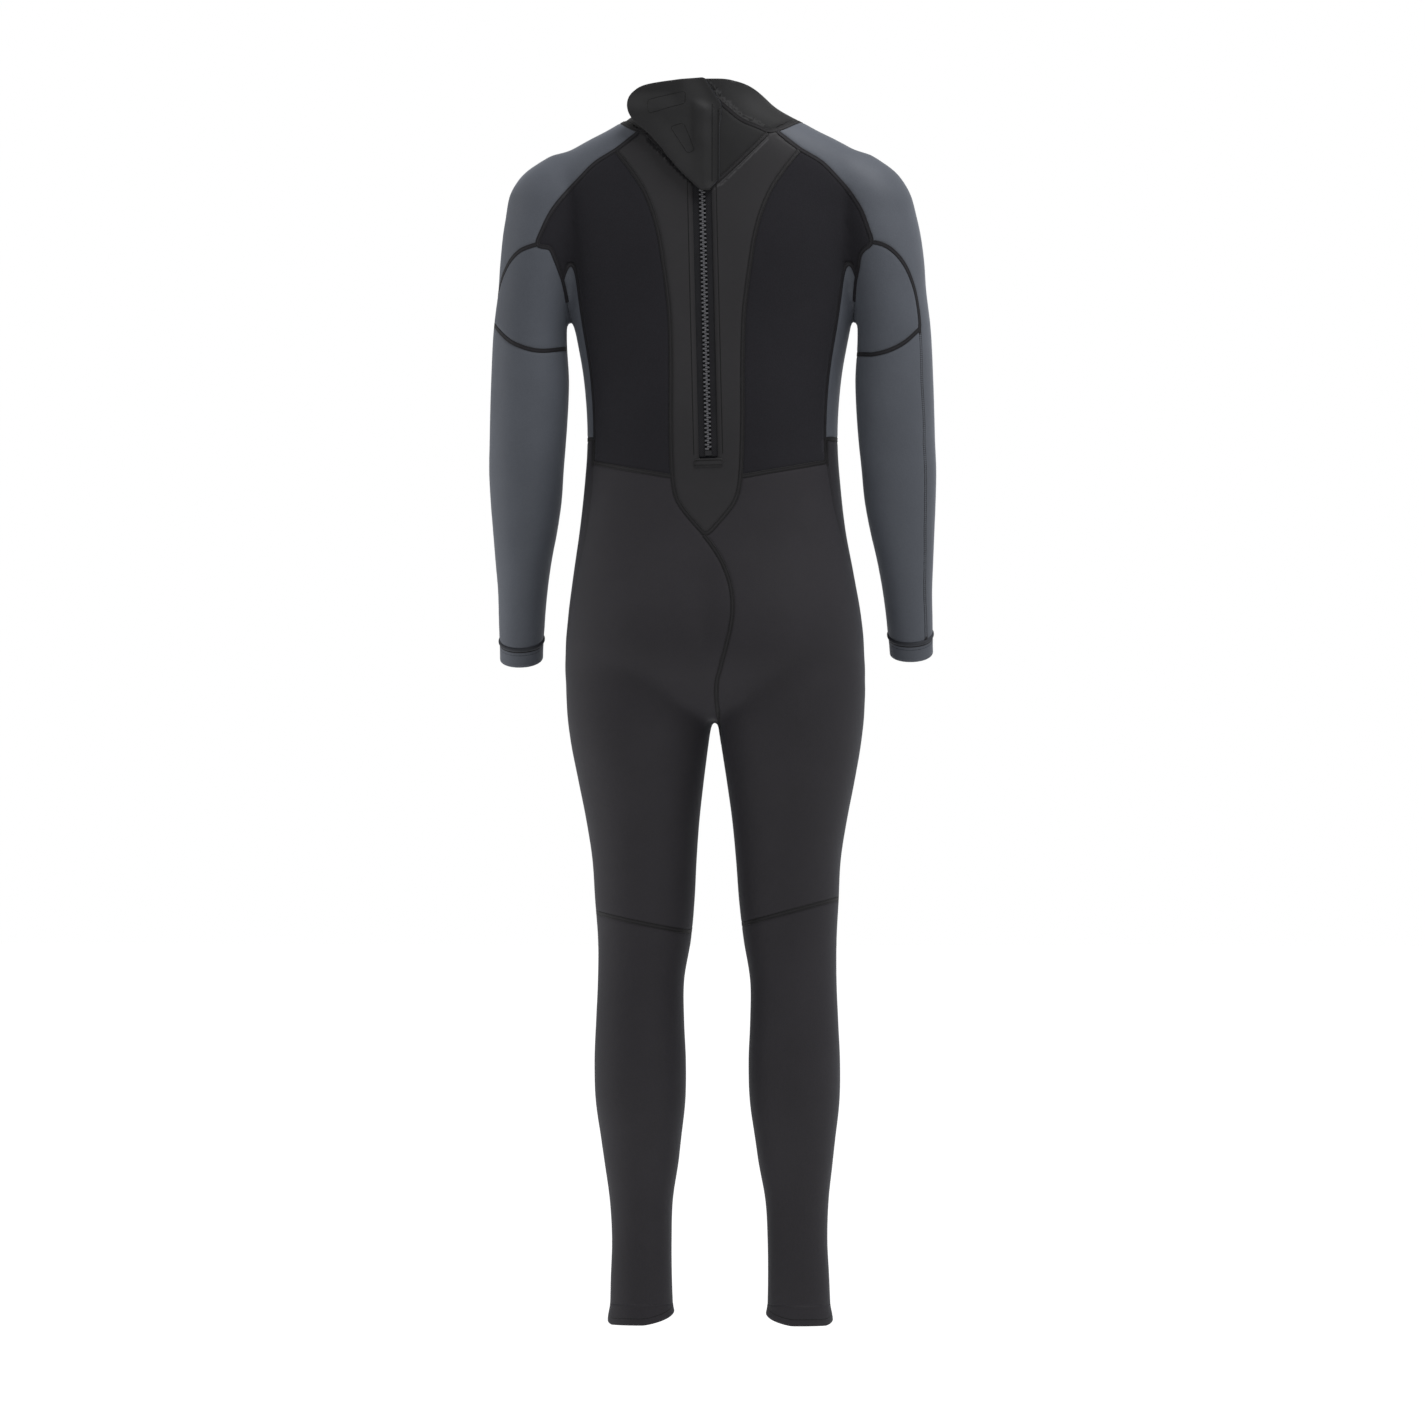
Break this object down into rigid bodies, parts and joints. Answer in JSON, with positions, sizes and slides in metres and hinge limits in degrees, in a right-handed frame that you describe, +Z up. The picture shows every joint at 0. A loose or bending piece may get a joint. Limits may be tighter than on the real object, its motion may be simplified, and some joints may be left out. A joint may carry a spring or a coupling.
{
  "type": "full wetsuit",
  "caption": "Full-length back-zip neoprene wetsuit, worn shape, with a sliding back zip, a folding collar flap and limbs that bend at elbows and knees.",
  "frame": {"origin": "on the floor plane under the middle of the suit, level with the ankle hems", "axes": "+Z up through the neck, +Y out of the back and the zip, +X to the wearer's left"},
  "size_m": [0.54, 0.234, 1.5],
  "materials": {
    "plush_jersey": "matt plush jersey",
    "grey_jersey": "matt nylon jersey",
    "black_jersey": "matt nylon jersey",
    "smooth_neoprene": "satin smoothskin",
    "knee_rubber": "matt textured rubber",
    "hook_tape": "matt moulded hooks",
    "loop_tape": "brushed loops",
    "zip_tape": "woven polyester",
    "zip_plastic": "moulded acetal"
  },
  "bodies": {
    "suit": {"chest_panel": "plush_jersey", "centre_back_panel": "black_jersey", "back_panel_left": "plush_jersey", "back_panel_right": "plush_jersey", "side_panel_left": "grey_jersey", "side_panel_right": "grey_jersey", "sleeve_upper_left": "grey_jersey", "sleeve_upper_right": "grey_jersey", "underarm_gusset_left": "grey_jersey", "underarm_gusset_right": "grey_jersey", "leg_panel_left": "black_jersey", "leg_panel_right": "black_jersey", "knee_skin_upper_left": "knee_rubber", "knee_skin_upper_right": "knee_rubber", "collar_left": "smooth_neoprene", "collar_right": "smooth_neoprene", "neck_panel_left": "smooth_neoprene", "neck_panel_right": "smooth_neoprene", "flap_seam_strip": "smooth_neoprene", "loop_pad": "loop_tape", "zip_tape_left": "zip_tape", "zip_tape_right": "zip_tape", "zip_teeth_left": "zip_plastic", "zip_teeth_right": "zip_plastic", "zip_top_stops": "zip_plastic", "zip_bottom_stop": "zip_plastic", "zip_end_patch": "smooth_neoprene", "zip_guard_flap": "smooth_neoprene"},
    "forearm_left": {"sleeve_lower_left": "grey_jersey", "wrist_cuff_left": "grey_jersey"},
    "shin_left": {"calf_panel_left": "black_jersey", "knee_skin_lower_left": "knee_rubber", "ankle_hem_left": "black_jersey"},
    "forearm_right": {"sleeve_lower_right": "grey_jersey", "wrist_cuff_right": "grey_jersey"},
    "shin_right": {"calf_panel_right": "black_jersey", "knee_skin_lower_right": "knee_rubber", "ankle_hem_right": "black_jersey"},
    "flap": {"collar_flap": "smooth_neoprene", "hook_pad_upper": "hook_tape", "hook_pad_lower": "hook_tape"},
    "slider": {"zip_slider": "zip_plastic"},
    "pull_tab": {"zip_pull_tab": "zip_plastic"}
  },
  "joints": [
    {"name": "zip_slide", "type": "slide", "parent": "suit", "child": "slider", "axis": [-0.0262, 0.0279, -0.9993], "range_m": [0, 0.37]},
    {"name": "pull_tab_lift", "type": "hinge", "parent": "slider", "child": "pull_tab", "pos_m": [0.00842, 0.08429, 1.4488], "axis": [0.9997, 0, -0.0262], "range_deg": [0, 8]},
    {"name": "flap_open", "type": "hinge", "parent": "suit", "child": "flap", "pos_m": [-0.007, 0.09356, 1.371], "axis": [0, -0.0279, 0.9996], "range_deg": [0, 150]},
    {"name": "elbow_left", "type": "hinge", "parent": "suit", "child": "forearm_left", "pos_m": [0.223, -0.048, 1.065], "axis": [-1, 0, 0], "range_deg": [0, 90], "stiffness_Nm_per_rad": 1},
    {"name": "knee_left", "type": "hinge", "parent": "suit", "child": "shin_left", "pos_m": [0.0808, 0.062, 0.484], "axis": [1, 0, 0], "range_deg": [0, 90], "stiffness_Nm_per_rad": 2},
    {"name": "elbow_right", "type": "hinge", "parent": "suit", "child": "forearm_right", "pos_m": [-0.223, -0.048, 1.065], "axis": [-1, 0, 0], "range_deg": [0, 90], "stiffness_Nm_per_rad": 1},
    {"name": "knee_right", "type": "hinge", "parent": "suit", "child": "shin_right", "pos_m": [-0.0912, 0.062, 0.484], "axis": [1, 0, 0], "range_deg": [0, 90], "stiffness_Nm_per_rad": 2}
  ]
}
